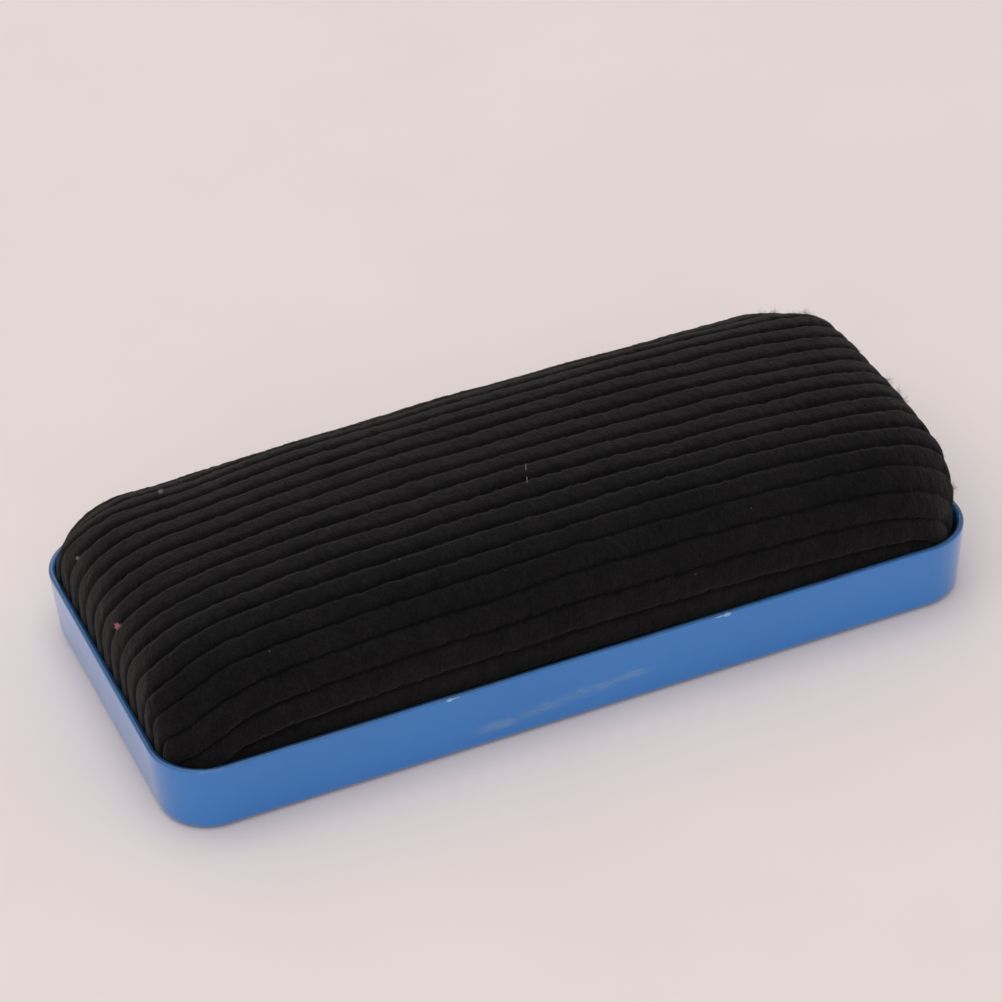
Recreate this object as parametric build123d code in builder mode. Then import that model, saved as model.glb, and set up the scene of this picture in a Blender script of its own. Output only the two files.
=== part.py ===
"""Chalkboard eraser: a crowned corduroy pad glued into a drawn sheet-steel tray.

Millimetres, +Z up. The origin is the middle of the tray's underside. +X runs along the eraser.
"""

from build123d import *
from math import atan, degrees
import os

# Tray
TRAY_LENGTH = 150.0
TRAY_WIDTH = 70.0
TRAY_HEIGHT = 13.5
TRAY_CORNER_RADIUS = 10.0
SHEET_THICKNESS = 0.4
WALL_DRAFT = 1.0  # how much further out the rim stands than the base, on each side
BASE_EDGE_RADIUS = 1.5
HEM_DEPTH = 2.6  # height of the rim's folded-in double layer
HEM_THICKNESS = 1.2
HEM_ROUND = 0.5

# Pad, from its cloth inwards
PAD_CLEARANCE = 0.1  # between the cloth and the foot of the tray's wall
CLOTH_THICKNESS = 2.0  # backing and pile together
HEM_CLOTH_THICKNESS = 1.2  # the turned-under edge, squeezed flat
CLOTH_TURN_UNDER = 13.0
PAD_TOP = 33.5
SIDE_SPRING_HEIGHT = 9.0  # where the upright sides start to lean in
SIDE_SHOULDER = 20.0  # run of the rounded shoulder along each side
END_SHOULDER = 12.0  # run of the rounded shoulder at each end
CROSS_DROP = 0.6  # how far the low dome falls from the middle to the side shoulders
LENGTHWISE_DROP = 2.6  # and from the middle to the end shoulders
BOARD_THICKNESS = 3.0

# Fastenings
STAPLE_CROWN = 10.0
STAPLE_LEG = 4.0
STAPLE_WIRE = 0.5
STAPLE_INSET = 9.0  # from the cloth's outer face to the row of staples
SIDE_STAPLES = 5
SIDE_STAPLE_PITCH = 28.0
END_STAPLES = 2
END_STAPLE_PITCH = 24.0
BEAD_LENGTH = 104.0
BEAD_WIDTH = 6.0
BEAD_COUNT = 3
BEAD_PITCH = 14.0

# Sizes that follow
cloth_inset = WALL_DRAFT + SHEET_THICKNESS + PAD_CLEARANCE
cloth_length = TRAY_LENGTH - 2 * cloth_inset
cloth_width = TRAY_WIDTH - 2 * cloth_inset
cloth_corner = TRAY_CORNER_RADIUS - cloth_inset
core_length = cloth_length - 2 * CLOTH_THICKNESS
core_width = cloth_width - 2 * CLOTH_THICKNESS
core_corner = cloth_corner - CLOTH_THICKNESS
board_underside = SHEET_THICKNESS + HEM_CLOTH_THICKNESS
board_top = board_underside + BOARD_THICKNESS
core_top = PAD_TOP - CLOTH_THICKNESS


def arch(span, bottom, top, drop, shoulder):
    """Outline of a domed slab seen from one side: upright ends, rounded shoulders, a low domed top."""
    half = span / 2
    shoulder_top = top - drop
    shoulder_rise = shoulder_top - SIDE_SPRING_HEIGHT
    Polyline(
        (-half, SIDE_SPRING_HEIGHT),
        (-half, bottom),
        (half, bottom),
        (half, SIDE_SPRING_HEIGHT),
    )
    inner = half - shoulder
    EllipticalCenterArc((inner, SIDE_SPRING_HEIGHT), shoulder, shoulder_rise, arc_size=90)
    ThreePointArc((inner, shoulder_top), (0, top), (-inner, shoulder_top))
    EllipticalCenterArc((-inner, SIDE_SPRING_HEIGHT), shoulder, shoulder_rise, 90, arc_size=90)


def crowned_block(length, width, corner, bottom, top):
    """A block domed across its width and along its length, with upright rounded corners."""
    with BuildPart() as block:
        with BuildSketch(Plane.YZ.offset(-length / 2)):
            with BuildLine():
                arch(width, bottom, top, CROSS_DROP, SIDE_SHOULDER)
            make_face()
        extrude(amount=length)
        with BuildSketch(Plane.XZ):
            with BuildLine():
                arch(length, bottom, top, LENGTHWISE_DROP, END_SHOULDER)
            make_face()
        extrude(amount=width, both=True, mode=Mode.INTERSECT)
        with BuildSketch(Plane.XY.offset(bottom)):
            RectangleRounded(length, width, corner)
        extrude(amount=top - bottom, mode=Mode.INTERSECT)
    return block.part


# The tray's hollow below its hem, to be cut away
draft_angle = degrees(atan(WALL_DRAFT / TRAY_HEIGHT))
hem_z = TRAY_HEIGHT - HEM_DEPTH
base_wall = WALL_DRAFT + SHEET_THICKNESS
with BuildPart() as cavity:
    with BuildSketch(Plane.XY.offset(SHEET_THICKNESS)):
        RectangleRounded(
            TRAY_LENGTH - 2 * base_wall,
            TRAY_WIDTH - 2 * base_wall,
            TRAY_CORNER_RADIUS - base_wall,
        )
    extrude(amount=hem_z - SHEET_THICKNESS, taper=-draft_angle)
    fillet(cavity.faces().sort_by(Axis.Z)[0].edges(), BASE_EDGE_RADIUS - SHEET_THICKNESS)

# Tray: drawn from one sheet, its rim folded inwards into a hem
with BuildPart() as tray:
    with BuildSketch():
        RectangleRounded(
            TRAY_LENGTH - 2 * WALL_DRAFT,
            TRAY_WIDTH - 2 * WALL_DRAFT,
            TRAY_CORNER_RADIUS - WALL_DRAFT,
        )
    extrude(amount=TRAY_HEIGHT, taper=-draft_angle)
    fillet(tray.faces().sort_by(Axis.Z)[0].edges(), BASE_EDGE_RADIUS)
    add(cavity.part, mode=Mode.SUBTRACT)
    with BuildSketch(Plane.XY.offset(hem_z)):
        RectangleRounded(
            TRAY_LENGTH - 2 * HEM_THICKNESS,
            TRAY_WIDTH - 2 * HEM_THICKNESS,
            TRAY_CORNER_RADIUS - HEM_THICKNESS,
        )
    extrude(amount=HEM_DEPTH, mode=Mode.SUBTRACT)
    fillet(tray.edges().group_by(Axis.Z)[-1], HEM_ROUND)
tray.part.label = "tray"


def drive_staple(turn):
    """One staple, its crown lying on the plane below and its legs pointing up."""
    upright = (Align.CENTER, Align.CENTER, Align.MIN)
    leg_offset = (STAPLE_CROWN - STAPLE_WIRE) / 2
    with Locations(Location((0, 0, 0), (0, 0, turn))):
        Box(STAPLE_CROWN, STAPLE_WIRE, STAPLE_WIRE, align=upright)
        with Locations((-leg_offset, 0), (leg_offset, 0)):
            Box(STAPLE_WIRE, STAPLE_WIRE, STAPLE_LEG, align=upright)


# Staples: a row along each side and each end, driven up through the cloth edge into the board
with BuildPart() as staples:
    row_spacing_y = cloth_width - 2 * STAPLE_INSET
    row_spacing_x = cloth_length - 2 * STAPLE_INSET
    with Locations((0, 0, SHEET_THICKNESS)):
        with GridLocations(SIDE_STAPLE_PITCH, row_spacing_y, SIDE_STAPLES, 2):
            drive_staple(turn=0)
        with GridLocations(row_spacing_x, END_STAPLE_PITCH, 2, END_STAPLES):
            drive_staple(turn=90)
staples.part.label = "staples"

# Corduroy cover: over the pad, down its sides and turned under the board
cloth_block = crowned_block(cloth_length, cloth_width, cloth_corner, SHEET_THICKNESS, PAD_TOP)
cloth_hollow = crowned_block(core_length, core_width, core_corner, board_underside, core_top)
with BuildPart() as corduroy_cover:
    add(cloth_block)
    fillet(corduroy_cover.faces().sort_by(Axis.Z)[0].edges(), BASE_EDGE_RADIUS - SHEET_THICKNESS)
    add(cloth_hollow, mode=Mode.SUBTRACT)
    with BuildSketch(Plane.XY.offset(SHEET_THICKNESS)):
        RectangleRounded(
            cloth_length - 2 * CLOTH_TURN_UNDER, cloth_width - 2 * CLOTH_TURN_UNDER, cloth_corner / 2
        )
    extrude(amount=HEM_CLOTH_THICKNESS, mode=Mode.SUBTRACT)
    add(staples.part, mode=Mode.SUBTRACT)
corduroy_cover.part.label = "corduroy_cover"

# Foam pad: the springy crowned block on the board
foam_block = crowned_block(core_length, core_width, core_corner, board_top, core_top)
with BuildPart() as foam_pad:
    add(foam_block)
foam_pad.part.label = "foam_pad"

# Backing board: stiff hardboard that the cloth is stretched around
with BuildPart() as backing_board:
    with BuildSketch(Plane.XY.offset(board_underside)):
        RectangleRounded(core_length, core_width, core_corner)
    extrude(amount=BOARD_THICKNESS)
    add(staples.part, mode=Mode.SUBTRACT)
backing_board.part.label = "backing_board"

# Adhesive beads: strips of hot-melt glue between the tray and the board
with BuildPart() as adhesive_beads:
    with BuildSketch(Plane.XY.offset(SHEET_THICKNESS)):
        with GridLocations(0, BEAD_PITCH, 1, BEAD_COUNT):
            SlotOverall(BEAD_LENGTH, BEAD_WIDTH)
    extrude(amount=HEM_CLOTH_THICKNESS)
adhesive_beads.part.label = "adhesive_beads"

os.makedirs("parts", exist_ok=True)
for piece in (tray, staples, corduroy_cover, foam_pad, backing_board, adhesive_beads):
    export_step(piece.part, f"parts/{piece.part.label}.step")
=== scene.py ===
"""Chalkboard eraser: the looks of the corduroy pad and its painted tray.

Blender gets metres, in the CAD model's frame. The shapes are worked out in millimetres.
"""

import math

import bmesh
import bpy
import numpy as np
from mathutils import Matrix, Vector


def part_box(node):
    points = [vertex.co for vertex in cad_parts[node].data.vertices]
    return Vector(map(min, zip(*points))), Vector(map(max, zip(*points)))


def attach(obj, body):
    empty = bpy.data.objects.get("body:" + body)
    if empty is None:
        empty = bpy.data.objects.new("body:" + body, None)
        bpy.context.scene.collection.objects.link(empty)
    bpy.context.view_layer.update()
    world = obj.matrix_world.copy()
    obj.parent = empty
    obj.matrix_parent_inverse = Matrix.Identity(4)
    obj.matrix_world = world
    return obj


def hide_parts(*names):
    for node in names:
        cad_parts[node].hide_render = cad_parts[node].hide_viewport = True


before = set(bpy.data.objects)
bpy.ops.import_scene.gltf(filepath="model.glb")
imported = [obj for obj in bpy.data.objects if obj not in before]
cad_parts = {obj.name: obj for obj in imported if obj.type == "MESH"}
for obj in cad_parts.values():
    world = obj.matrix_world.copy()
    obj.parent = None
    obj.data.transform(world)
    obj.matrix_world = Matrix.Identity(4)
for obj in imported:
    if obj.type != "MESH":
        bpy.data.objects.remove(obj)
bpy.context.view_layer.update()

MM = 0.001
SEED = 11

tray_high = np.array(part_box("tray")[1]) / MM
cloth_low, cloth_high = (np.array(c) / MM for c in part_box("corduroy_cover"))
core_low = np.array(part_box("foam_pad")[0]) / MM

# ---------------------------------------------------------------- the pad's shape
SIDE_ROOM = 0.1  # between the pad's base surface and the outside of the CAD cloth
PAD_HALF_LENGTH = cloth_high[0] - SIDE_ROOM
PAD_HALF_WIDTH = cloth_high[1] - SIDE_ROOM
PAD_FOOT = 2.0  # where the upright sides end, inside the tray
PAD_TOP = cloth_high[2] - 0.6  # the mean cloth surface, below the wales' crests
RIM_Z = tray_high[2]
DOME_REACH = 75.0  # where the two drops below are measured, from the middle
DOME_DROP_2 = 1.5  # lengthwise dome: fall at the ends, in the square of x
DOME_DROP_4 = 0.8  # and in its fourth power
DOME_TILT = -0.036  # the pad is a little higher at the front
DOME_TILT_FULL = 10.0  # height above the foot from which the whole tilt shows
# How square the pad's edges are, as powers of a superellipse.
LEFT_SQUARENESS = 7.9
RIGHT_SQUARENESS = 10.8
FRONT_SQUARENESS = 3.15
BACK_SQUARENESS = 3.25
CORNER_RADIUS = 9.8
CORNER_SOFTENING = 0.45  # extra corner radius for each millimetre above the rim
# How far the pad swells out over the tray's rim, and the heights above the rim where that is
# greatest and gone.
LEFT_SWELL = 0.2
RIGHT_SWELL = 0.6
FRONT_SWELL = 0.3
BACK_SWELL = 1.8
SWELL_PEAK = 4.4
SWELL_END = 16.0
SWELL_CORE = 4.0  # run over which it starts, from the flat middle outwards
# Low lumps of the stuffing: height, length along the pad, length across it, seed.
LUMPS = ((0.25, 34, 22, 1), (0.12, 13, 11, 2))
HOLLOW_DEPTH = 1.1
HOLLOW = (-51, 14, 12, 14)  # its middle and its half sizes
LUMPS_FULL = 8.0  # height above the rim from which they are whole

# Gathers where the cloth is drawn round each corner: place round the corner in degrees from the
# long side, width in degrees, depth in millimetres, and how far above the rim each fades out.
GATHERS = {
    (-1, -1): ((12, 7, 0.8, 8), (40, 9, 0.6, 11), (66, 8, 0.5, 9)),
    (1, -1): ((18, 7, 0.6, 8), (46, 9, 0.6, 10), (72, 8, 0.5, 8)),
    (-1, 1): ((24, 8, 0.6, 9), (52, 8, 0.5, 11), (76, 7, 0.4, 8)),
    (1, 1): ((16, 7, 0.5, 9), (42, 9, 0.7, 11), (68, 8, 0.5, 9)),
}
GATHER_REACH = 16.0  # from the corner inwards
GATHER_MARGIN = 2.0  # how far it goes on along each side, beyond that
GATHER_START = 0.2  # share of that reach over which a gather hasn't begun
GATHER_LEAN = 0.3  # degrees round the corner for each millimetre of height
GATHER_BANK = 0.35  # the cloth pushed up beside a gather, as a share of its depth
GATHER_BANK_WIDTH = 2.2

# ---------------------------------------------------------------- the cloth
CLOTH_THICKNESS = 1.4
WALE_HEIGHT = 0.82
WALE_ROUNDNESS = 4.2
WALE_MEAN = 0.70  # share of a wale's height that lies under the base surface
GROOVE_AT = 16.5  # one groove's place, measured over the pad from its middle line
# How wide one wale lies, from the back edge to the front: the cloth is pulled tighter at the front.
WALE_PITCH_AT = (-40.0, -29.0, -24.0, -16.0, -8.0, 0.0, 60.0)
WALE_PITCH = (4.9, 4.8, 3.9, 3.9, 4.2, 4.4, 4.4)
# How the cloth's run was pulled: bowed along the pad, fanned down the ends, swept into the corners.
BOW = 1.25
BOW_REACH = 60.0
BOW_LIMIT = 1.1
FAN_LEFT = 3.8
FAN_RIGHT = 2.0
FAN_START = 27.5  # measured up the end face and over its edge, from the foot
FAN_RUN = 13.0
SWEEP = 1.6
SWEEP_AT = 23.0
SWEEP_SPREAD = 9.0
SWEEP_FROM = 15.0
SWEEP_FULL = 24.0
# Layers of noise, each with its size, length along the wales, length across them, and seed.
GROOVE_WANDER = ((0.20, 13, 9, 3), (0.13, 3.4, 3, 4), (0.16, 0.9, 2.2, 5))
ROUNDNESS_SPREAD = ((0.45, 1.3, 0.5, 10),)
HEIGHT_SPREAD = ((0.15, 16, 4.4, 7),)
TUFT_RELIEF = ((0.08, 0.75, 1.7, 8), (0.04, 0.4, 0.4, 9))
GROOVE_TUFTS = 0.3  # share of the tufts' relief that the grooves keep
WEAR_SPREAD = ((0.35, 9, 4, 6),)
# Patches where the pile is rubbed flat: how much, middle, half sizes.
WORN_PATCHES = (
    (0.9, 28, -29.0, 46, 5.5),
    (0.5, -32, -30, 24, 4),
    (0.25, 66, -12, 8, 22),
    (0.25, -64, -16, 7, 18),
)
WORN_LIMIT = 0.85
WORN_FLATTENING = 0.6  # share of its height that fully worn pile loses
TRAY_FLATTENING = 5.0  # depth below the rim over which the wales are squeezed against the tray
TRAY_RELIEF = 0.25  # share of their height that they keep there


def lattice_noise(x, y, cell_x, cell_y, seed):
    """Smooth random values from about -1 to 1, one lattice value for each cell."""
    rng = np.random.default_rng(SEED * 1000 + seed)
    table = rng.uniform(-1, 1, (256, 256))
    u = np.asarray(x) / cell_x + 512.0
    v = np.asarray(y) / cell_y + 512.0
    i = np.floor(u).astype(int)
    j = np.floor(v).astype(int)
    fu = u - i
    fv = v - j
    fu = fu * fu * (3 - 2 * fu)
    fv = fv * fv * (3 - 2 * fv)
    i0, i1, j0, j1 = i % 256, (i + 1) % 256, j % 256, (j + 1) % 256
    near = table[i0, j0] * (1 - fv) + table[i0, j1] * fv
    far = table[i1, j0] * (1 - fv) + table[i1, j1] * fv
    return near * (1 - fu) + far * fu


def layered_noise(x, y, layers):
    """The sum of several lattice noises."""
    return sum(size * lattice_noise(x, y, *cells_and_seed) for size, *cells_and_seed in layers)


def resample(points, count):
    """count points evenly spaced along a polyline."""
    steps = np.linalg.norm(np.diff(points, axis=0), axis=1)
    run = np.concatenate([[0], np.cumsum(steps)])
    even = np.linspace(0, run[-1], count)
    return np.stack([np.interp(even, run, points[:, k]) for k in range(points.shape[1])], -1)


def dome_height(x):
    """Height of the pad's middle line before the ends round over."""
    u = x / DOME_REACH
    return PAD_TOP - DOME_DROP_2 * u**2 - DOME_DROP_4 * u**4


def length_profile(count, half_length):
    """(x, height) stations along the pad's middle line, evenly spaced along the cloth."""
    angle = np.linspace(0, math.pi, 4001)
    power = np.where(np.cos(angle) > 0, 2 / LEFT_SQUARENESS, 2 / RIGHT_SQUARENESS)
    x = -half_length * np.sign(np.cos(angle)) * np.abs(np.cos(angle)) ** power
    rise = np.abs(np.sin(angle)) ** power
    z = PAD_FOOT + (dome_height(x) - PAD_FOOT) * rise
    return resample(np.stack([x, z], -1), count)


def cross_sections(stations, count, half_width):
    """Base surface and the cloth's own cross coordinate: arrays (stations, count)."""
    angle = np.linspace(0, math.pi, 1201)
    cos, sin = np.cos(angle), np.sin(angle)
    power = np.where(cos > 0, 2 / FRONT_SQUARENESS, 2 / BACK_SQUARENESS)
    unit_y = -np.sign(cos) * np.abs(cos) ** power
    unit_z = np.abs(sin) ** power
    surface = np.empty((len(stations), count, 3))
    across = np.empty((len(stations), count))
    for i, (x, top) in enumerate(stations):
        lift = top - PAD_FOOT
        tilt = DOME_TILT * unit_y * half_width * min(1.0, lift / DOME_TILT_FULL)
        curve = np.stack([unit_y * half_width, PAD_FOOT + (lift + tilt) * unit_z], -1)
        even = resample(curve, count)
        run = np.linalg.norm(np.diff(even, axis=0), axis=1)
        run = np.concatenate([[0], np.cumsum(run)])
        surface[i, :, 0] = x
        surface[i, :, 1:] = even
        across[i] = run - np.interp(0, even[:, 0], run)
    return surface, across


def round_corners(p, half_length, half_width):
    """Turns the square corners of the plan into round ones, softer with height."""
    radius = CORNER_RADIUS + CORNER_SOFTENING * np.clip(p[..., 2] - RIM_Z, 0, None)
    over_x = np.abs(p[..., 0]) - (half_length - radius)
    over_y = np.abs(p[..., 1]) - (half_width - radius)
    corner = (over_x > 0) & (over_y > 0)
    ox, oy = np.where(corner, over_x, 0), np.where(corner, over_y, 0)
    new_x = ox * np.sqrt(1 - np.clip(oy / radius, 0, 1) ** 2 / 2)
    new_y = oy * np.sqrt(1 - np.clip(ox / radius, 0, 1) ** 2 / 2)
    out = p.copy()
    out[..., 0] += np.sign(p[..., 0]) * (new_x - ox)
    out[..., 1] += np.sign(p[..., 1]) * (new_y - oy)
    return out


def smooth_step(t):
    t = np.clip(t, 0, 1)
    return t * t * (3 - 2 * t)


def swell(p, half_length, half_width):
    """Pushes the sides out above the rim, as the stuffing does."""
    over_x = np.clip(np.abs(p[..., 0]) - (half_length - CORNER_RADIUS), 0, None)
    over_y = np.clip(np.abs(p[..., 1]) - (half_width - CORNER_RADIUS), 0, None)
    reach = np.maximum(np.hypot(over_x, over_y), 1e-6)
    towards_x, towards_y = over_x / reach, over_y / reach
    end = np.where(p[..., 0] < 0, LEFT_SWELL, RIGHT_SWELL)
    side = np.where(p[..., 1] < 0, FRONT_SWELL, BACK_SWELL)
    above = p[..., 2] - RIM_Z
    fade = smooth_step((above - SWELL_PEAK) / (SWELL_END - SWELL_PEAK))
    rise = smooth_step(above / SWELL_PEAK) * (1 - fade)
    amount = (end * towards_x**2 + side * towards_y**2) * rise
    amount = amount * np.clip(reach / SWELL_CORE, 0, 1)
    out = p.copy()
    out[..., 0] += np.sign(p[..., 0]) * towards_x * amount
    out[..., 1] += np.sign(p[..., 1]) * towards_y * amount
    return out


def bump(x, y, at_x, at_y, wide_x, wide_y):
    return np.exp(-(((x - at_x) / wide_x) ** 2) - (((y - at_y) / wide_y) ** 2))


def soft_unevenness(p):
    """Low lumps and hollows of the hand-stuffed pad, in millimetres of height."""
    x, y = p[..., 0], p[..., 1]
    up = np.clip((p[..., 2] - RIM_Z) / LUMPS_FULL, 0, 1)
    return (layered_noise(x, y, LUMPS) - HOLLOW_DEPTH * bump(x, y, *HOLLOW)) * up


def creases(p):
    """Depth of the gathers at the four corners, in millimetres along the surface's normal."""
    core_x, core_y = PAD_HALF_LENGTH - GATHER_REACH, PAD_HALF_WIDTH - GATHER_REACH
    above = p[..., 2] - RIM_Z
    total = np.zeros(p.shape[:2])
    for (side_x, side_y), folds in GATHERS.items():
        over_x = side_x * p[..., 0] - core_x
        over_y = side_y * p[..., 1] - core_y
        inside = (over_x > -GATHER_MARGIN) & (over_y > -GATHER_MARGIN)
        over_x, over_y = np.maximum(over_x, 0), np.maximum(over_y, 0)
        turn = np.degrees(np.arctan2(over_x, over_y + 1e-6))
        reach = smooth_step(np.hypot(over_x, over_y) / GATHER_REACH - GATHER_START)
        for middle, wide, depth, fade in folds:
            place = (turn - middle - GATHER_LEAN * above) / wide
            fold = np.exp(-(place**2)) - GATHER_BANK * np.exp(-((place / GATHER_BANK_WIDTH) ** 2))
            total -= inside * depth * fold * reach * (1 - smooth_step(above / fade))
    return total


def normals_of(p):
    along = np.gradient(p, axis=0)
    side = np.gradient(p, axis=1)
    n = np.cross(along, side)
    n /= np.maximum(np.linalg.norm(n, axis=-1, keepdims=True), 1e-9)
    # The grid's border falls together at the foot of each corner, where it gives no normal.
    n[:, 0], n[:, -1] = n[:, 1], n[:, -2]
    n[0], n[-1] = n[1], n[-2]
    return n


def inside_border(rows, columns, cells):
    """0 on the grid's border, rising to 1 some cells further in."""
    i, j = np.arange(rows)[:, None], np.arange(columns)[None]
    from_border = np.minimum(np.minimum(i, rows - 1 - i), np.minimum(j, columns - 1 - j))
    return smooth_step(from_border / cells)


def base_surface(stations, count, half_length, half_width):
    """The smooth surface under the wales, with the cloth's cross and lengthwise coordinates."""
    surface, across = cross_sections(stations, count, half_width)
    surface = round_corners(surface, half_length, half_width)
    surface = swell(surface, half_length, half_width)
    surface[..., 2] += soft_unevenness(surface)
    steps = np.linalg.norm(np.diff(stations, axis=0), axis=1)
    along = np.concatenate([[0], np.cumsum(steps)])
    return surface, across, np.repeat(along[:, None], count, axis=1)


def square_cut(stations, count, half_length, half_width):
    """The same surface with square corners: the cloth that is there to be gathered in."""
    surface = cross_sections(stations, count, half_width)[0]
    surface = swell(surface, half_length, half_width)
    surface[..., 2] += soft_unevenness(surface)
    return surface


def cloth_run(across, x, along):
    """The cloth's own cross coordinate, once the pulls that skew its wales are taken out."""
    from_foot = np.minimum(along, along[-1:] - along)
    fan = np.where(x < 0, FAN_LEFT, FAN_RIGHT)
    fan = fan * smooth_step((FAN_START - from_foot) / FAN_RUN)
    bow = BOW * np.clip(np.abs(x) / BOW_REACH, 0, BOW_LIMIT) ** 2
    corner = smooth_step((np.abs(across) - SWEEP_FROM) / (SWEEP_FULL - SWEEP_FROM))
    near = np.exp(-(((from_foot - SWEEP_AT) / SWEEP_SPREAD) ** 2))
    sweep = -np.sign(across) * SWEEP * corner * near
    return across + bow - fan + sweep


def wale_number(across, x, along):
    """Which wale a place lies on: whole numbers are grooves. The grooves wander a little."""
    fine = np.linspace(-80, 80, 3201)
    wales_per_mm = 1 / np.interp(fine, WALE_PITCH_AT, WALE_PITCH)
    steps = 0.5 * (wales_per_mm[1:] + wales_per_mm[:-1]) * np.diff(fine)
    number = np.concatenate([[0], np.cumsum(steps)])
    number -= np.interp(GROOVE_AT, fine, number)
    run = cloth_run(across, x, along) + layered_noise(x, across, GROOVE_WANDER)
    return np.interp(run, fine, number)


def wear(p):
    """How far the pile is rubbed flat, from 0 to 1."""
    x, y = p[..., 0], p[..., 1]
    rubbed = sum(amount * bump(x, y, *place) for amount, *place in WORN_PATCHES)
    return np.clip(rubbed * (1 + layered_noise(x, y, WEAR_SPREAD)), 0, WORN_LIMIT)


def wale_relief(p, across, along):
    """Height of the pile above the base surface, the wales' pattern from 0 to 1, and the wear."""
    x = p[..., 0]
    number = wale_number(across, x, along)
    offset = 2 * (number - np.floor(number)) - 1
    roundness = WALE_ROUNDNESS * (1 + layered_noise(x, number, ROUNDNESS_SPREAD))
    shape = 1 - np.abs(offset) ** roundness
    worn = wear(p)
    height = WALE_HEIGHT * (1 + layered_noise(x, across, HEIGHT_SPREAD))
    height = height * (1 - WORN_FLATTENING * worn)
    above_squeeze = p[..., 2] - RIM_Z + TRAY_FLATTENING
    in_tray = np.clip(above_squeeze / TRAY_FLATTENING, TRAY_RELIEF, 1)
    tufts = layered_noise(x, across, TUFT_RELIEF)
    tufts = tufts * (GROOVE_TUFTS + (1 - GROOVE_TUFTS) * shape)
    relief = height * (shape - WALE_MEAN) * in_tray + tufts
    return relief, shape, worn


# ---------------------------------------------------------------- meshes
def add_object(name, mesh, material):
    thing = bpy.data.objects.new(name, mesh)
    bpy.context.scene.collection.objects.link(thing)
    if material is not None:
        mesh.materials.append(material)
    mesh.shade_smooth()
    return thing


def grid_faces(rows, columns, start=0, flip=False):
    i, j = np.meshgrid(np.arange(rows - 1), np.arange(columns - 1), indexing="ij")
    a = (i * columns + j).ravel() + start
    quads = np.stack([a, a + columns, a + columns + 1, a + 1], -1)
    return (quads[:, ::-1] if flip else quads).tolist()


def grid_edge_loop(rows, columns, start=0, step=1):
    """The grid's outer vertices in order, each step-th one."""
    near = [(i, 0) for i in range(0, rows - 1, step)]
    right = [(rows - 1, j) for j in range(0, columns - 1, step)]
    far = [(i, columns - 1) for i in range(rows - 1, 0, -step)]
    left = [(0, j) for j in range(columns - 1, 0, -step)]
    return [start + i * columns + j for i, j in near + right + far + left]


WELD_DISTANCE = 0.004  # millimetres


def weld(mesh):
    """Joins vertices that share a place, and drops the faces that this leaves with no area."""
    work = bmesh.new()
    work.from_mesh(mesh)
    bmesh.ops.remove_doubles(work, verts=work.verts, dist=WELD_DISTANCE * MM)
    bmesh.ops.dissolve_degenerate(work, edges=work.edges, dist=WELD_DISTANCE * MM)
    work.to_mesh(mesh)
    work.free()
    mesh.validate()


SETTLING_SCALE = 20.0  # the cloth settles as a model this many times life size
SETTLING_FRAMES = 24
SETTLING_HELD_BELOW = 2.5  # the cloth is held fast from here down, in millimetres below the rim
SETTLING_MODELLED_BELOW = 6.0  # and left out of the simulation from here down
SETTLING_LIMIT = 0.45  # furthest that any place may move, in millimetres
SETTLING_SPARE = 0.05  # most spare cloth that is let in, as a share of its length
# Passes over the result, because thick corduroy takes no folds finer than a wale, and passes that
# leave only the overall change of shape, which is taken out again.
SETTLING_SMOOTHING = 6
SETTLING_TREND = 60
SETTLING_CLEARANCE = 0.5  # kept by the foam, in millimetres
SETTLING_CLOTH_CLEARANCE = 0.4  # and by the cloth


def smoothed(field, passes):
    """A field on the cloth's grid, averaged with its neighbours."""
    field = field.copy()
    for _ in range(passes):
        field[1:-1] = 0.5 * field[1:-1] + 0.25 * (field[:-2] + field[2:])
        field[:, 1:-1] = 0.5 * field[:, 1:-1] + 0.25 * (field[:, :-2] + field[:, 2:])
    return field


def spare_cloth(fitted, cut):
    """How much longer the square cut is than the fitted surface at each place, as a share."""

    def cell_size(p):
        return sum(np.linalg.norm(np.gradient(p, axis=axis), axis=-1) for axis in (0, 1))

    return np.clip(cell_size(cut) / cell_size(fitted) - 1, 0, SETTLING_SPARE)


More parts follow.
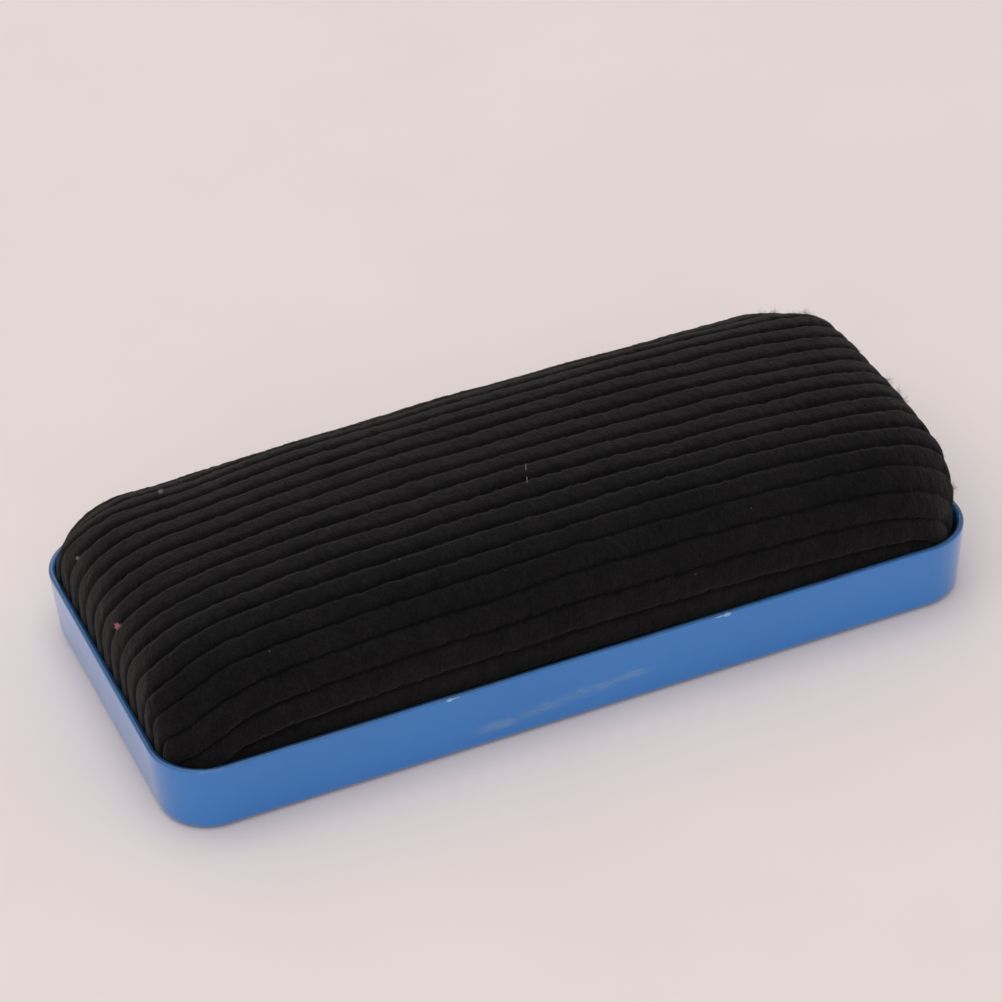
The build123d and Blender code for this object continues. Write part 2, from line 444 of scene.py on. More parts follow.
def settle_cloth(fitted, cut, foam):
    """Lets the cloth relax over the foam, and gives how far that moves each place.

    What the square cut has to spare gathers at the corners.
    """
    rows, columns = fitted.shape[:2]
    grow = MM * SETTLING_SCALE
    faces = np.array(grid_faces(rows, columns))
    free = fitted[..., 2].ravel()[faces].min(axis=1) > RIM_Z - SETTLING_MODELLED_BELOW
    used, faces = np.unique(faces[free], return_inverse=True)
    start = fitted.reshape(-1, 3)[used]
    mesh = bpy.data.meshes.new("settling_cloth")
    mesh.from_pydata((start * grow).tolist(), [], faces.reshape(-1, 4).tolist())
    cloth = add_object("settling_cloth", mesh, None)
    taut = cloth.vertex_groups.new(name="taut")
    for vertex, spare in enumerate(spare_cloth(fitted, cut).ravel()[used].tolist()):
        taut.add([vertex], 1 - spare / SETTLING_SPARE, "REPLACE")
    held = cloth.vertex_groups.new(name="held")
    held.add(np.nonzero(start[:, 2] < RIM_Z - SETTLING_HELD_BELOW)[0].tolist(), 1.0, "REPLACE")

    under = add_object("settling_foam", foam.data.copy(), None)
    under.data.transform(Matrix.Scale(SETTLING_SCALE, 4))
    under.modifiers.new("hit", "COLLISION")
    under.collision.thickness_outer = SETTLING_CLEARANCE * grow
    under.collision.cloth_friction = 15

    modifier = cloth.modifiers.new("cloth", "CLOTH")
    settings = modifier.settings
    settings.quality = 8
    settings.mass = 0.25
    settings.air_damping = 4.0
    settings.tension_stiffness = settings.compression_stiffness = 25
    settings.shear_stiffness = 12
    settings.bending_stiffness = 6
    settings.tension_damping = settings.compression_damping = settings.shear_damping = 12
    settings.bending_damping = 2
    settings.effector_weights.gravity = 0
    settings.vertex_group_mass = "held"
    settings.vertex_group_shrink = "taut"
    settings.shrink_min, settings.shrink_max = -SETTLING_SPARE, 0
    modifier.collision_settings.distance_min = SETTLING_CLOTH_CLEARANCE * grow
    modifier.collision_settings.use_self_collision = False
    modifier.point_cache.frame_start, modifier.point_cache.frame_end = 1, SETTLING_FRAMES
    for moment in range(1, SETTLING_FRAMES + 1):
        bpy.context.scene.frame_set(moment)
    settled = cloth.evaluated_get(bpy.context.evaluated_depsgraph_get()).data
    places = np.empty(len(start) * 3)
    settled.vertices.foreach_get("co", places)
    bpy.context.scene.frame_set(1)
    for thing in (cloth, under):
        bpy.data.objects.remove(thing)
    moved = np.zeros((rows * columns, 3))
    moved[used] = places.reshape(-1, 3) / grow - start
    far = np.linalg.norm(moved, axis=-1, keepdims=True)
    moved *= np.minimum(1, SETTLING_LIMIT / np.maximum(far, 1e-6))
    folds = smoothed(moved.reshape(rows, columns, 3), SETTLING_SMOOTHING)
    return folds - smoothed(folds, SETTLING_TREND)


def refine(field, rows, columns):
    """A coarse field on the cloth's grid, read smoothly at a finer grid's places."""
    for axis, count in ((0, rows), (1, columns)):
        field = np.moveaxis(field, axis, 0)
        place = np.linspace(0, len(field) - 1, count)
        low = np.clip(np.floor(place).astype(int), 0, len(field) - 2)
        t = (place - low)[:, None, None]
        before, after = np.maximum(low - 1, 0), np.minimum(low + 2, len(field) - 1)
        a, b, c, d = field[before], field[low], field[low + 1], field[after]
        field = b + 0.5 * t * (c - a + t * (2 * a - 5 * b + 4 * c - d + t * (3 * (b - c) + d - a)))
        field = np.moveaxis(field, 0, axis)
    return field


COVER_ROWS = 521
COVER_COLUMNS = 353
INNER_STEP = 4  # cells of the outer face for each one of the inner face
PLAIN_EDGE = 8  # cells along the cloth's edge over which its wales fade in, inside the tray
# The turned-under edge lies between the tray's floor and the board, clear of both.
BOARD_THICKNESS = 3.0
TURN_CLEARANCE = 0.05
TURN_WIDTH = 13.0
turn_low = cloth_low[2] + TURN_CLEARANCE
turn_high = core_low[2] - BOARD_THICKNESS - TURN_CLEARANCE
# Rings of the edge, from the outer face round to the inner one: how far in, and how high.
TURN_RINGS = (
    (0.3, turn_low + 0.5),
    (1.3, turn_low),
    (TURN_WIDTH, turn_low),
    (TURN_WIDTH, turn_high),
)


def close_cover(outer, inner):
    """Joins the two faces of the cloth by its turned-under edge: all vertices, all faces."""
    inner_rows, inner_columns = inner.shape[:2]
    outer_loop = grid_edge_loop(COVER_ROWS, COVER_COLUMNS)
    flat_outer = outer.reshape(-1, 3)
    edge = flat_outer[outer_loop[::INNER_STEP]]
    rings = []
    for inset, z in TURN_RINGS:
        ring = edge.copy()
        ring[:, :2] *= np.array([1 - inset / PAD_HALF_LENGTH, 1 - inset / PAD_HALF_WIDTH])
        ring[:, 2] = z
        rings.append(ring)
    vertices = np.concatenate([flat_outer] + rings + [inner.reshape(-1, 3)])

    size = len(edge)
    inner_start = len(flat_outer) + size * len(rings)
    faces = grid_faces(COVER_ROWS, COVER_COLUMNS)
    faces += grid_faces(inner_rows, inner_columns, inner_start, flip=True)
    ring_starts = range(len(flat_outer), inner_start, size)
    loops = [list(range(start, start + size)) for start in ring_starts]
    loops.append(grid_edge_loop(inner_rows, inner_columns, inner_start))
    for k in range(size):
        corners = range(k * INNER_STEP, (k + 1) * INNER_STEP + 1)
        fine = [outer_loop[corner % len(outer_loop)] for corner in corners]
        after = (k + 1) % size
        faces.append([*fine[::-1], loops[0][k], loops[0][after]])
        for upper, lower in zip(loops[:-1], loops[1:]):
            faces.append([upper[after], upper[k], lower[k], lower[after]])
    return vertices, faces


def make_cover(material, foam):
    """The corduroy: fine outer face with its wales, turned under the board, plain inner face."""
    stations = length_profile(COVER_ROWS, PAD_HALF_LENGTH)
    base, across, along = base_surface(stations, COVER_COLUMNS, PAD_HALF_LENGTH, PAD_HALF_WIDTH)
    cut = square_cut(stations, COVER_COLUMNS, PAD_HALF_LENGTH, PAD_HALF_WIDTH)
    coarse = (slice(None, None, INNER_STEP), slice(None, None, INNER_STEP))
    moved = settle_cloth(base[coarse], cut[coarse], foam)
    base = base + refine(moved, COVER_ROWS, COVER_COLUMNS)
    plain_edge = inside_border(COVER_ROWS, COVER_COLUMNS, PLAIN_EDGE)
    base = base + (creases(base) * plain_edge)[..., None] * normals_of(base)
    normal = normals_of(base)
    relief, shape, worn = wale_relief(base, across, along)
    outer = base + normal * (relief * plain_edge)[..., None]

    inner = base[coarse] - normal[coarse] * CLOTH_THICKNESS
    inner[..., 2] = np.maximum(inner[..., 2], PAD_FOOT)
    inner[0, :, 2] = inner[-1, :, 2] = inner[:, 0, 2] = inner[:, -1, 2] = turn_high
    vertices, faces = close_cover(outer, inner)

    mesh = bpy.data.meshes.new("corduroy_cloth")
    mesh.from_pydata((vertices * MM).tolist(), [], faces)
    tail = np.zeros(len(vertices) - shape.size)
    for name, values in (("wale", shape), ("worn", worn)):
        layer = mesh.attributes.new(name, "FLOAT", "POINT")
        layer.data.foreach_set("value", np.concatenate([values.ravel(), tail]))
    weld(mesh)
    cover = add_object("corduroy_cloth", mesh, material)
    return cover, outer, normal, along, across


FOAM_ROWS = 131
FOAM_COLUMNS = 89
FOAM_GAP = 0.2  # between the foam and the cloth's inner face
PORE_LAYER = ((0.1, 1.7, 1.7, 20),)
FOAM_EVEN_FROM = 9.0  # below this height the foam's sides are drawn together, to end on the board


def make_foam(material):
    """The foam block under the cloth, a touch inside the cloth's inner face."""
    stations = length_profile(FOAM_ROWS, PAD_HALF_LENGTH)
    base = base_surface(stations, FOAM_COLUMNS, PAD_HALF_LENGTH, PAD_HALF_WIDTH)[0]
    pores = layered_noise(base[..., 0], base[..., 1], PORE_LAYER)
    folded = creases(base) * inside_border(FOAM_ROWS, FOAM_COLUMNS, PLAIN_EDGE / INNER_STEP)
    base += (folded - (CLOTH_THICKNESS + FOAM_GAP) + pores)[..., None] * normals_of(base)
    share = (base[..., 2] - PAD_FOOT) / (FOAM_EVEN_FROM - PAD_FOOT)
    foot = core_low[2] + np.clip(share, 0, 1) * (FOAM_EVEN_FROM - core_low[2])
    base[..., 2] = np.maximum(base[..., 2], foot)
    faces = grid_faces(FOAM_ROWS, FOAM_COLUMNS)
    faces.append(grid_edge_loop(FOAM_ROWS, FOAM_COLUMNS)[::-1])
    mesh = bpy.data.meshes.new("foam_block")
    mesh.from_pydata((base.reshape(-1, 3) * MM).tolist(), [], faces)
    weld(mesh)
    return add_object("foam_block", mesh, material)


HAIR_RINGS = ((0.0, 1.0), (0.5, 0.8), (1.0, 0.25))  # place along a hair, and share of its radius


def fibres(name, roots, directions, lengths, radii, curl, material):
    """Short bent hairs, each a closed three-sided tube that narrows to its tip."""
    rng = np.random.default_rng(SEED + len(roots))
    count = len(roots)
    side = np.cross(directions, rng.normal(size=(count, 3)))
    side /= np.linalg.norm(side, axis=1, keepdims=True)
    other = np.cross(directions, side)
    rings = []
    for step, share in HAIR_RINGS:
        bend = side * (curl * lengths * step**2)[:, None]
        middle = roots + directions * (lengths * step)[:, None] + bend
        for corner in range(3):
            angle = 2 * math.pi * corner / 3
            around = side * math.cos(angle) + other * math.sin(angle)
            rings.append(middle + around * (radii * share)[:, None])
    vertices = np.stack(rings, axis=1).reshape(-1, 3)
    pattern = [[2, 1, 0], [6, 7, 8]]
    for ring in (0, 3):
        for corner in range(3):
            after = (corner + 1) % 3
            pattern.append([ring + corner, ring + after, ring + 3 + after, ring + 3 + corner])
    faces = [[9 * k + v for v in face] for k in range(count) for face in pattern]
    mesh = bpy.data.meshes.new(name)
    mesh.from_pydata((vertices * MM).tolist(), [], faces)
    return add_object(name, mesh, material)


FUZZ_COUNT = 12000
FUZZ_LENGTH = (0.25, 0.65)
FUZZ_RADIUS = (0.012, 0.022)
FUZZ_CURL = 0.6
FUZZ_LEAN = 0.55  # spread of the hairs' directions about the normal
FUZZ_ROOT_DEPTH = 0.15
FUZZ_ABOVE_RIM = 1.0
FUZZ_MARGIN = (30, 20)  # rows and columns left bare at the cloth's edges
# Clumps of longer pile that stand out along the right-hand end. Their rows are counted from the
# pad's right foot, and their columns from its front foot and its back foot.
TUFT_COUNT = 46
TUFT_HAIRS = 26
TUFT_ROWS = (95, 36)
TUFT_COLUMNS = (40, 60)
TUFT_SPREAD = 1.6
TUFT_LENGTH = (0.7, 1.5)


def make_fuzz(surface, normal, material):
    """Loose pile on the wales, thickest along the ends and edges, with a few longer tufts."""
    rng = np.random.default_rng(SEED + 1)
    rows, columns = surface.shape[:2]
    row = rng.integers(FUZZ_MARGIN[0], rows - FUZZ_MARGIN[0], FUZZ_COUNT)
    column = rng.integers(FUZZ_MARGIN[1], columns - FUZZ_MARGIN[1], FUZZ_COUNT)
    length = rng.uniform(*FUZZ_LENGTH, FUZZ_COUNT)
    tuft_row = rng.integers(rows - TUFT_ROWS[0], rows - TUFT_ROWS[1], TUFT_COUNT)
    tuft_column = rng.integers(TUFT_COLUMNS[0], columns - TUFT_COLUMNS[1], TUFT_COUNT)
    spread = rng.normal(scale=TUFT_SPREAD, size=(2, TUFT_COUNT, TUFT_HAIRS)).astype(int)
    row = np.concatenate([row, (tuft_row[:, None] + spread[0]).ravel()])
    column = np.concatenate([column, (tuft_column[:, None] + spread[1]).ravel()])
    length = np.concatenate([length, rng.uniform(*TUFT_LENGTH, TUFT_COUNT * TUFT_HAIRS)])
    count = len(row)
    root = surface[row, column] - normal[row, column] * FUZZ_ROOT_DEPTH
    direction = normal[row, column] + rng.normal(scale=FUZZ_LEAN, size=(count, 3))
    direction /= np.linalg.norm(direction, axis=1, keepdims=True)
    above = root[:, 2] > RIM_Z + FUZZ_ABOVE_RIM
    return fibres(
        "pile_fuzz",
        root[above],
        direction[above],
        length[above],
        rng.uniform(*FUZZ_RADIUS, count)[above],
        rng.uniform(-FUZZ_CURL, FUZZ_CURL, count)[above],
        material,
    )


# Lint caught in the pile: distance along the pad from its left foot, distance across, size, and
# colour name.
LINT = (
    (22.0, -5.6, 0.85, "pink"),
    (42.0, 21.3, 0.62, "grey"),
    (22.5, 16.4, 0.50, "grey"),
    (70.2, -18.7, 0.24, "pale"),
    (131.0, -28.0, 0.20, "pale"),
    (88.0, 13.0, 0.22, "pale"),
    (150.0, 4.0, 0.24, "pale"),
    (118.0, -36.0, 0.20, "pale"),
    (60.0, 9.0, 0.20, "pale"),
    (108.0, 24.0, 0.30, "pale"),
    (44.0, -27.0, 0.24, "pale"),
    (165.0, -14.0, 0.26, "pale"),
)
THREAD = ((98.6, -6.2), (97.9, -7.6), (97.6, -9.2), (96.6, -10.9))
THREAD_RADIUS = 0.035
THREAD_HEIGHT = 0.12  # above the pile
LINT_HAIRS = 320  # in a ball of size 1
LINT_HAIR_RADIUS = 0.02
LINT_HAIR_LENGTH = (0.35, 1.0)  # as shares of the ball's size, like the next two
LINT_HEIGHT = 0.35
LINT_RADIUS = 0.45
LINT_CORE = 0.2  # no hair starts nearer the middle than this share of the radius
LINT_CURL = 0.9


def cell_at(along, across, place_along, place_across):
    """Row and column of the cloth's grid at a place measured over the pad."""
    row = int(np.abs(along[:, 0] - place_along).argmin())
    return row, int(np.abs(across[row] - place_across).argmin())


def make_lint(surface, normal, along, across, looks):
    """Small balls of tangled fluff, each a bundle of curled hairs, and one short thread."""
    rng = np.random.default_rng(SEED + 2)
    pieces = []
    for look in ("pink", "grey", "pale"):
        roots, directions, lengths, radii = [], [], [], []
        for place_along, place_across, size, colour in LINT:
            if colour != look:
                continue
            cell = cell_at(along, across, place_along, place_across)
            hairs = int(LINT_HAIRS * size)
            middle = surface[cell] + normal[cell] * size * LINT_HEIGHT
            outward = rng.normal(size=(hairs, 3))
            outward /= np.linalg.norm(outward, axis=1, keepdims=True)
            depth = rng.uniform(LINT_CORE, 1, (hairs, 1))
            roots.append(middle + outward * size * LINT_RADIUS * depth)
            turned = np.cross(outward, rng.normal(size=(hairs, 3)))
            directions.append(turned / np.linalg.norm(turned, axis=1, keepdims=True))
            lengths.append(rng.uniform(*LINT_HAIR_LENGTH, hairs) * size)
            radii.append(np.full(hairs, LINT_HAIR_RADIUS))
        roots, directions = np.concatenate(roots), np.concatenate(directions)
        lengths, radii = np.concatenate(lengths), np.concatenate(radii)
        curl = rng.uniform(-LINT_CURL, LINT_CURL, len(roots))
        name = f"lint_{look}"
        pieces.append(fibres(name, roots, directions, lengths, radii, curl, looks[look]))
    points = []
    for place_along, place_across in THREAD:
        cell = cell_at(along, across, place_along, place_across)
        points.append((surface[cell] + normal[cell] * THREAD_HEIGHT) * MM)
    curve = bpy.data.curves.new("lint_thread", "CURVE")
    curve.dimensions = "3D"
    curve.bevel_depth = THREAD_RADIUS * MM
    curve.use_fill_caps = True
    spline = curve.splines.new("NURBS")
    spline.points.add(len(points) - 1)
    for point, place in zip(spline.points, points):
        point.co = (*place, 1)
    spline.order_u = 3
    spline.use_endpoint_u = True
    thread = bpy.data.objects.new("lint_thread", curve)
    bpy.context.scene.collection.objects.link(thread)
    curve.materials.append(looks["grey"])
    pieces.append(thread)
    return pieces


# ---------------------------------------------------------------- materials
def new_material(name):
    material = bpy.data.materials.new(name)
    material.use_nodes = True
    nodes = material.node_tree.nodes
    nodes.clear()
    output = nodes.new("ShaderNodeOutputMaterial")
    shader = nodes.new("ShaderNodeBsdfPrincipled")
    material.node_tree.links.new(shader.outputs[0], output.inputs[0])
    return material, nodes, material.node_tree.links, shader


def noise(nodes, links, scale, detail=4.0, roughness=0.6, stretch=None):
    """A noise texture in object coordinates; scale counts cells in a metre."""
    place = nodes.new("ShaderNodeTexCoord")
    texture = nodes.new("ShaderNodeTexNoise")
    texture.inputs["Scale"].default_value = scale
    texture.inputs["Detail"].default_value = detail
    texture.inputs["Roughness"].default_value = roughness
    source = place.outputs["Object"]
    if stretch:
        mapping = nodes.new("ShaderNodeMapping")
        mapping.inputs["Scale"].default_value = stretch
        links.new(source, mapping.inputs["Vector"])
        source = mapping.outputs[0]
    links.new(source, texture.inputs["Vector"])
    return texture.outputs["Fac"]


def ramp(nodes, links, source, stops):
    """A colour ramp: stops are (position, value or colour)."""
    node = nodes.new("ShaderNodeValToRGB")
    elements = node.color_ramp.elements
    while len(elements) < len(stops):
        elements.new(0.5)
    for element, (position, colour) in zip(elements, stops):
        element.position = position
        element.color = (*colour, 1) if hasattr(colour, "__len__") else (colour, colour, colour, 1)
    links.new(source, node.inputs[0])
    return node.outputs[0]


def feed(links, node, values):
    """Gives each numbered input of a node its value or its link."""
    for index, value in values.items():
        if isinstance(value, bpy.types.NodeSocket):
            links.new(value, node.inputs[index])
        else:
            node.inputs[index].default_value = value


def mix_colour(nodes, links, factor, first, second, blend="MIX"):
    node = nodes.new("ShaderNodeMix")
    node.data_type = "RGBA"
    node.blend_type = blend
    feed(links, node, {0: factor, 6: first, 7: second})
    return node.outputs[2]


def maths(nodes, links, operation, first, second):
    node = nodes.new("ShaderNodeMath")
    node.operation = operation
    feed(links, node, {0: first, 1: second})
    return node.outputs[0]


def add_bump(nodes, links, shader, height, distance, strength=1.0):
    node = nodes.new("ShaderNodeBump")
    node.inputs["Strength"].default_value = strength
    node.inputs["Distance"].default_value = distance
    links.new(height, node.inputs["Height"])
    links.new(node.outputs[0], shader.inputs["Normal"])


PILE_DARK = (0.0026, 0.0024, 0.0027)
PILE_LIGHT = (0.0092, 0.0083, 0.0090)
SHEEN_TINT = (0.62, 0.55, 0.56, 1)


def corduroy_material():
    material, nodes, links, shader = new_material("black_corduroy")
    attribute = nodes.new("ShaderNodeAttribute")
    attribute.attribute_name = "wale"
    wale = attribute.outputs["Fac"]
    grain = noise(nodes, links, 2600, 3, 0.7)
    streaks = noise(nodes, links, 900, 3, 0.7, stretch=(2.2, 0.7, 0.7))
    clouds = noise(nodes, links, 45, 3, 0.6)
    blotches = noise(nodes, links, 300, 4, 0.65)
    pile = ramp(nodes, links, grain, ((0.3, PILE_DARK), (0.72, PILE_LIGHT)))
    # The wale pattern darkens the base colour to a tenth in the grooves: painted shade in the
    # grooves between the wales. The other layers are random tone.
    for source, stops in (
        (clouds, ((0.3, 0.72), (0.7, 1.15))),
        (blotches, ((0.32, 0.72), (0.68, 1.28))),
        (streaks, ((0.35, 0.7), (0.68, 1.25))),
        (wale, ((0.0, 0.10), (0.35, 0.45), (0.7, 0.95), (1.0, 1.0))),
    ):
        shade = ramp(nodes, links, source, stops)
        pile = mix_colour(nodes, links, 1.0, pile, shade, "MULTIPLY")
    links.new(pile, shader.inputs["Base Color"])
    shader.inputs["Roughness"].default_value = 0.95
    shader.inputs["Specular IOR Level"].default_value = 0.1
    shader.inputs["Sheen Weight"].default_value = 0.135
    shader.inputs["Sheen Roughness"].default_value = 0.45
    shader.inputs["Sheen Tint"].default_value = SHEEN_TINT
    height = maths(nodes, links, "ADD", grain, streaks)
    add_bump(nodes, links, shader, height, 0.00025, 0.9)
    return material


def fuzz_material():
    material, nodes, links, shader = new_material("loose_pile")
    grain = noise(nodes, links, 500, 2, 0.6)
    links.new(
        ramp(nodes, links, grain, ((0.3, (0.010, 0.009, 0.010)), (0.75, (0.05, 0.044, 0.046)))),
        shader.inputs["Base Color"],
    )
    shader.inputs["Roughness"].default_value = 0.7
    shader.inputs["Specular IOR Level"].default_value = 0.2
    return material


def lint_material(name, colour):
    material, nodes, links, shader = new_material(name)
    grain = noise(nodes, links, 900, 2, 0.6)
    dark = tuple(0.6 * c for c in colour)
    links.new(ramp(nodes, links, grain, ((0.3, dark), (0.7, colour))), shader.inputs["Base Color"])
    shader.inputs["Roughness"].default_value = 0.9
    return material


def patch(nodes, links, middle, half_size, softness):
    """A soft-edged mask, 1 inside an ellipsoid at middle (millimetres), 0 outside."""
    place = nodes.new("ShaderNodeTexCoord")
    shift = nodes.new("ShaderNodeVectorMath")
    shift.operation = "SUBTRACT"
    links.new(place.outputs["Object"], shift.inputs[0])
    shift.inputs[1].default_value = tuple(c * MM for c in middle)
    scale = nodes.new("ShaderNodeVectorMath")
    scale.operation = "MULTIPLY"
    links.new(shift.outputs[0], scale.inputs[0])
    scale.inputs[1].default_value = tuple(1 / (c * MM) for c in half_size)
    length = nodes.new("ShaderNodeVectorMath")
    length.operation = "LENGTH"
    links.new(scale.outputs[0], length.inputs[0])
    return ramp(nodes, links, length.outputs["Value"], ((1 - softness, 1.0), (1.0, 0.0)))


ENAMEL_DARK = (0.012, 0.173, 0.530)
ENAMEL_LIGHT = (0.016, 0.190, 0.570)
SCUFF = (0.17, 0.30, 0.50)
# Painted shade for the rim's top, beside the black cloth.
RIM_PAINTED_SHADE = (0.010, 0.040, 0.105)
PRIMER = (0.24, 0.45, 0.62)
# Scuffed patches, mostly low on the front wall: middle and half sizes in millimetres.
SCUFFS = (
    ((-17, -34.3, 4.0), (6.0, 2, 1.5)),
    ((-9, -34.3, 4.7), (6.0, 2, 1.7)),
    ((0, -34.4, 5.5), (7.0, 2, 1.6)),
    ((8, -34.5, 6.1), (5.0, 2, 1.1)),
    ((38, 34.4, 5.5), (6.0, 2, 1.4)),
    ((-74, 12, 5.5), (2, 5.0, 1.2)),
)
# Chips on the rim, down to the pale primer.
CHIPS = (
    ((25.6, -34.9, 13.15), (0.75, 0.7, 0.42)),
    ((24.2, -34.9, 13.2), (1.0, 0.6, 0.14)),
    ((-25.4, -34.9, 13.15), (0.6, 0.7, 0.35)),
    ((-24.4, -34.9, 13.2), (0.9, 0.6, 0.14)),
    ((-9.0, 34.9, 13.2), (0.9, 0.7, 0.4)),
    ((74.9, -11.0, 13.2), (0.7, 1.0, 0.4)),
)


def patches(nodes, links, places, softness):
    """Several patches as one mask."""
    whole = None
    for middle, half_size in places:
        mask = patch(nodes, links, middle, half_size, softness)
        whole = mask if whole is None else maths(nodes, links, "MAXIMUM", whole, mask)
    return whole


def paint_material():
    material, nodes, links, shader = new_material("blue_enamel")
    clouds = noise(nodes, links, 26, 3, 0.55)
    colour = ramp(nodes, links, clouds, ((0.3, ENAMEL_DARK), (0.7, ENAMEL_LIGHT)))
    smear = noise(nodes, links, 330, 5, 0.75, stretch=(0.45, 0.6, 1.6))
    smear = ramp(nodes, links, smear, ((0.35, 0.05), (0.64, 0.72)))
    scuffed = maths(nodes, links, "MULTIPLY", patches(nodes, links, SCUFFS, 0.75), smear)
    facing = nodes.new("ShaderNodeTexCoord")
    split = nodes.new("ShaderNodeSeparateXYZ")
    links.new(facing.outputs["Normal"], split.inputs[0])
    downward = maths(nodes, links, "MULTIPLY", split.outputs["Z"], -1.0)
    underneath = ramp(nodes, links, downward, ((0.35, 0.0), (0.9, 1.0)))
    rubbed = noise(nodes, links, 420, 5, 0.72, stretch=(0.10, 1.0, 1.0))
    rubbed = ramp(nodes, links, rubbed, ((0.54, 0.0), (0.68, 0.55)))
    rubbed = maths(nodes, links, "MULTIPLY", rubbed, underneath)
    scuffed = maths(nodes, links, "MAXIMUM", scuffed, rubbed)
    colour = mix_colour(nodes, links, scuffed, colour, (*SCUFF, 1))
    ragged = noise(nodes, links, 1500, 4, 0.7)
    ragged = ramp(nodes, links, ragged, ((0.38, 0.0), (0.46, 1.0)))
    chipped = maths(nodes, links, "MULTIPLY", patches(nodes, links, CHIPS, 0.25), ragged)
    colour = mix_colour(nodes, links, chipped, colour, (*PRIMER, 1))
    # Painted shade: where the rim's top faces up, high on the tray, it is darkened with a mottled
    # painted shade. This stands for the shade and the dark reflection of the black cloth that rises
    # beside it.
    place = nodes.new("ShaderNodeSeparateXYZ")
    links.new(facing.outputs["Object"], place.inputs[0])
    rim_shade = ramp(nodes, links, split.outputs["Z"], ((0.45, 0.0), (0.85, 1.0)))
    is_high = maths(nodes, links, "GREATER_THAN", place.outputs["Z"], 0.8 * RIM_Z * MM)
    rim_shade = maths(nodes, links, "MULTIPLY", rim_shade, is_high)
    rim_shade_spread = ramp(nodes, links, noise(nodes, links, 160, 4, 0.65), ((0.25, 0.62), (0.7, 0.96)))
    rim_shade = maths(nodes, links, "MULTIPLY", rim_shade, rim_shade_spread)
    colour = mix_colour(nodes, links, rim_shade, colour, (*RIM_PAINTED_SHADE, 1))
    links.new(colour, shader.inputs["Base Color"])
    dull = maths(nodes, links, "MULTIPLY", maths(nodes, links, "MAXIMUM", scuffed, chipped), 0.3)
    handled = ramp(nodes, links, noise(nodes, links, 75, 4, 0.6), ((0.35, 0.16), (0.75, 0.24)))
    links.new(maths(nodes, links, "ADD", handled, dull), shader.inputs["Roughness"])
    shader.inputs["Coat Weight"].default_value = 0.55
    shader.inputs["Coat Roughness"].default_value = 0.10
    peel = noise(nodes, links, 520, 2, 0.5)
    dents = maths(nodes, links, "MULTIPLY", chipped, -4.0)
    add_bump(nodes, links, shader, maths(nodes, links, "ADD", peel, dents), 0.00002, 0.5)
    return material


def simple_material(
    name, colour, spread, scale, roughness, bump_depth, metallic=0.0, subsurface=0.0
):
    """A plain inner material with a two-tone noise and a small bump."""
    material, nodes, links, shader = new_material(name)
    grain = noise(nodes, links, scale, 5, 0.65)
    dark = tuple(c * (1 - spread) for c in colour)
    light = tuple(min(1.0, c * (1 + spread)) for c in colour)
    links.new(ramp(nodes, links, grain, ((0.3, dark), (0.7, light))), shader.inputs["Base Color"])
    shader.inputs["Roughness"].default_value = roughness
    shader.inputs["Metallic"].default_value = metallic
    shader.inputs["Subsurface Weight"].default_value = subsurface
    add_bump(nodes, links, shader, grain, bump_depth, 0.6)
    return material


# ---------------------------------------------------------------- build
foam = make_foam(simple_material("foam", (0.74, 0.66, 0.42), 0.12, 1400, 0.9, 0.0002))
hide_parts("foam_pad")
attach(foam, "root")

cover, surface, normals, along, across = make_cover(corduroy_material(), foam)
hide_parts("corduroy_cover")
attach(cover, "root")

fuzz = make_fuzz(surface, normals, fuzz_material())
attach(fuzz, "root")

lint_looks = {
    "pink": lint_material("pink_lint", (0.90, 0.30, 0.42)),
    "grey": lint_material("grey_lint", (0.34, 0.32, 0.36)),
    "pale": lint_material("pale_lint", (0.10, 0.092, 0.088)),
}
for bit in make_lint(surface, normals, along, across, lint_looks):
    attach(bit, "root")

cad_looks = {
    "tray": paint_material(),
    "backing_board": simple_material("hardboard", (0.27, 0.16, 0.085), 0.25, 700, 0.75, 0.00008),
    "staples": simple_material(
        "staple_wire", (0.62, 0.62, 0.63), 0.1, 900, 0.32, 0.00001, metallic=1.0
    ),
    "adhesive_beads": simple_material(
        "hot_melt", (0.78, 0.70, 0.50), 0.08, 300, 0.35, 0.00005, subsurface=0.2
    ),
}
for node_name, look in cad_looks.items():
    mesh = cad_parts[node_name].data
    mesh.materials.clear()
    mesh.materials.append(look)
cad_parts["tray"].data.shade_smooth()


# ---------------------------------------------------------------- floor, light, camera
FLOOR_HALF_SIZE = 6.0
FLOOR_Z = -0.0001  # just clear of the tray's underside, so that the two don't flicker from below
FLOOR_DARK = (0.79, 0.706, 0.690)
FLOOR_LIGHT = (0.815, 0.731, 0.714)


def make_floor():
    mesh = bpy.data.meshes.new("floor")
    corners = [
        (x * FLOOR_HALF_SIZE, y * FLOOR_HALF_SIZE, FLOOR_Z)
        for x, y in ((-1, -1), (1, -1), (1, 1), (-1, 1))
    ]
    mesh.from_pydata(corners, [], [(0, 1, 2, 3)])
    material, nodes, links, shader = new_material("pale_paper")
    mottle = noise(nodes, links, 14, 3, 0.6)
    colour = ramp(nodes, links, mottle, ((0.3, FLOOR_DARK), (0.7, FLOOR_LIGHT)))
    links.new(colour, shader.inputs["Base Color"])
    shader.inputs["Roughness"].default_value = 0.85
    shader.inputs["Specular IOR Level"].default_value = 0.2
    floor = add_object("floor", mesh, material)


make_floor()

world = bpy.data.worlds.new("studio")
world.use_nodes = True
background = world.node_tree.nodes["Background"]
background.inputs["Color"].default_value = (1.0, 0.985, 0.975, 1)
background.inputs["Strength"].default_value = 0.56
bpy.context.scene.world = world


LAMP_COLOUR = (1.0, 0.99, 0.98)
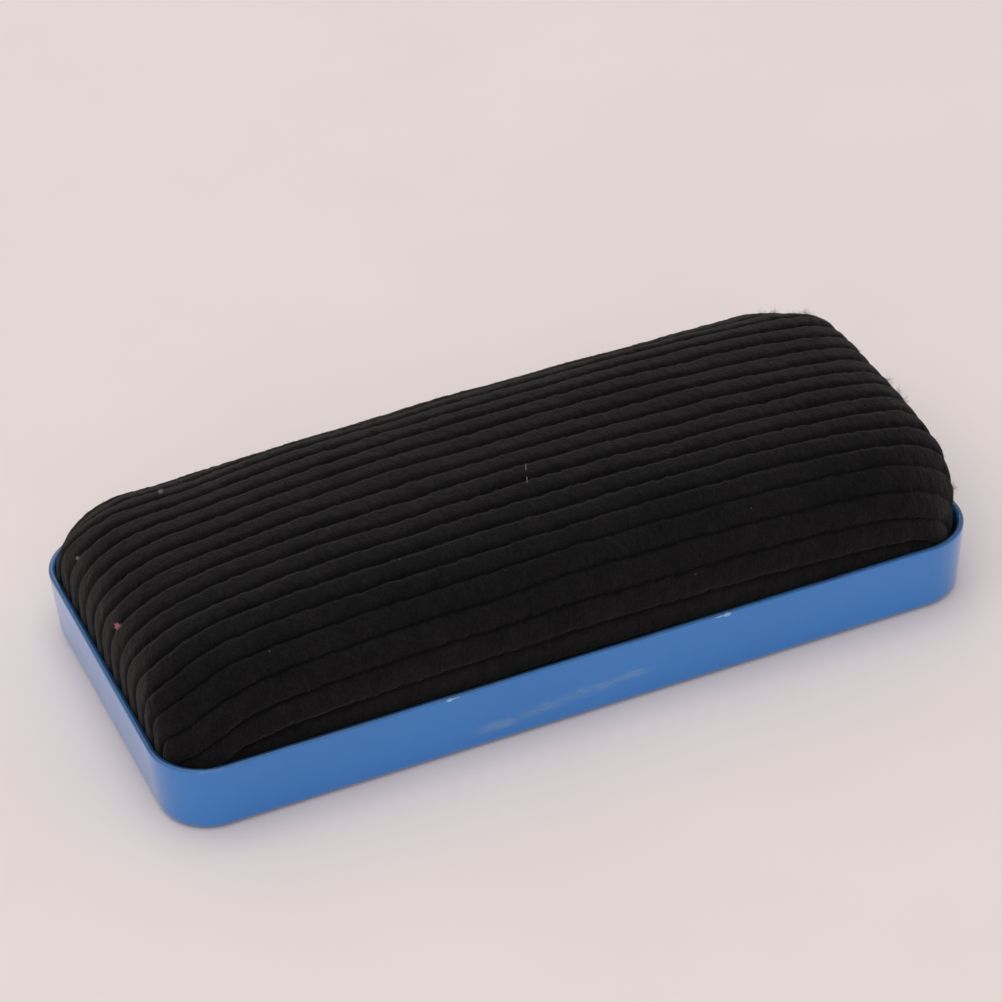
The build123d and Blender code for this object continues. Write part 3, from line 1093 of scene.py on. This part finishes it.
# Lamps: name, place, the point each is aimed at, size of its side and power.
LAMPS = (
    ("key", (-0.25, 0.06, 1.1), (0, 0, 0), 1.4, 5.7),
    ("fill", (-0.30, -1.0, 0.72), (0, 0, 0), 0.9, 2.75),
    ("wash", (0.1, 1.2, 0.9), (0, 0.6, 0), 0.8, 1.6),
)


def area_light(name, place, aim, size, power):
    light = bpy.data.lights.new(name, "AREA")
    light.shape = "SQUARE"
    light.size = size
    light.energy = power
    light.color = LAMP_COLOUR
    lamp = bpy.data.objects.new(name, light)
    lamp.location = place
    lamp.rotation_mode = "QUATERNION"
    lamp.rotation_quaternion = (Vector(aim) - Vector(place)).to_track_quat("-Z", "Y")
    bpy.context.scene.collection.objects.link(lamp)


for lamp_row in LAMPS:
    area_light(*lamp_row)

# Angles in degrees, lens in millimetres, the rest in metres.
CAMERA_AZIMUTH = -21.73
CAMERA_ELEVATION = 37.31
CAMERA_ROLL = -2.80
CAMERA_DISTANCE = 0.7258
CAMERA_TARGET = Vector((0.0102, 0.0272, 0))
CAMERA_LENS = 143.7


def make_camera():
    azimuth, elevation = math.radians(CAMERA_AZIMUTH), math.radians(CAMERA_ELEVATION)
    roll = math.radians(CAMERA_ROLL)
    back = Vector(
        (
            math.sin(azimuth) * math.cos(elevation),
            -math.cos(azimuth) * math.cos(elevation),
            math.sin(elevation),
        )
    )
    right = Vector((math.cos(azimuth), math.sin(azimuth), 0))
    up = back.cross(right)
    turned_right = right * math.cos(roll) + up * math.sin(roll)
    turned_up = up * math.cos(roll) - right * math.sin(roll)
    data = bpy.data.cameras.new("camera")
    data.lens = CAMERA_LENS
    data.sensor_width = 36.0
    data.clip_start, data.clip_end = 0.05, 20
    camera = bpy.data.objects.new("camera", data)
    bpy.context.scene.collection.objects.link(camera)
    axes = Matrix((turned_right, turned_up, back)).transposed()
    place = CAMERA_TARGET + back * CAMERA_DISTANCE
    camera.matrix_world = Matrix.Translation(place) @ axes.to_4x4()
    bpy.context.scene.camera = camera


make_camera()
bpy.context.scene.view_settings.view_transform = "Standard"
